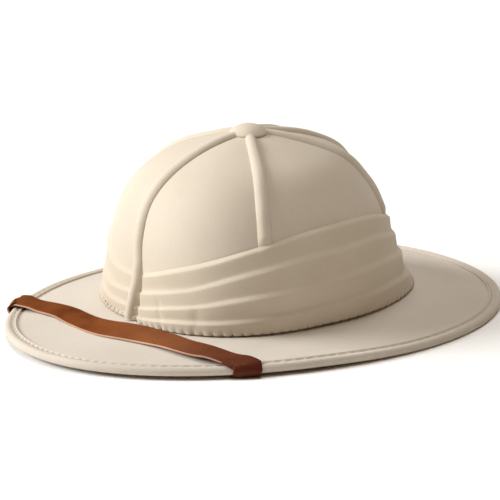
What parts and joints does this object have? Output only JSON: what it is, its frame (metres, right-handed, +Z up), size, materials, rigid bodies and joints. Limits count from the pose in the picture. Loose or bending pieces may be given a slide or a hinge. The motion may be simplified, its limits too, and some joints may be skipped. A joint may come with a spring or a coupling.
{
  "type": "pith helmet",
  "caption": "Cloth-covered sun helmet with a ribbed dome crown, folded band, wide bound brim, top button and a leather chin strap worn over the front of the brim.",
  "frame": {"origin": "centre of the helmet's footprint, on the surface that it rests on", "axes": "+Z up towards the top button, -Y towards the front of the helmet, +X towards the wearer's left"},
  "size_m": [0.2654, 0.35, 0.1293],
  "materials": {
    "cloth": "matte",
    "binding_tape": "matte",
    "leather": "satin"
  },
  "bodies": {
    "root": {"crown": "cloth", "folded_band": "cloth", "front_rib": "cloth", "left_side_rib": "cloth", "right_side_rib": "cloth", "left_rear_rib": "cloth", "right_rear_rib": "cloth", "back_rib": "cloth", "top_button": "cloth", "brim": "cloth", "brim_binding": "binding_tape", "chin_strap": "leather"}
  },
  "joints": []
}
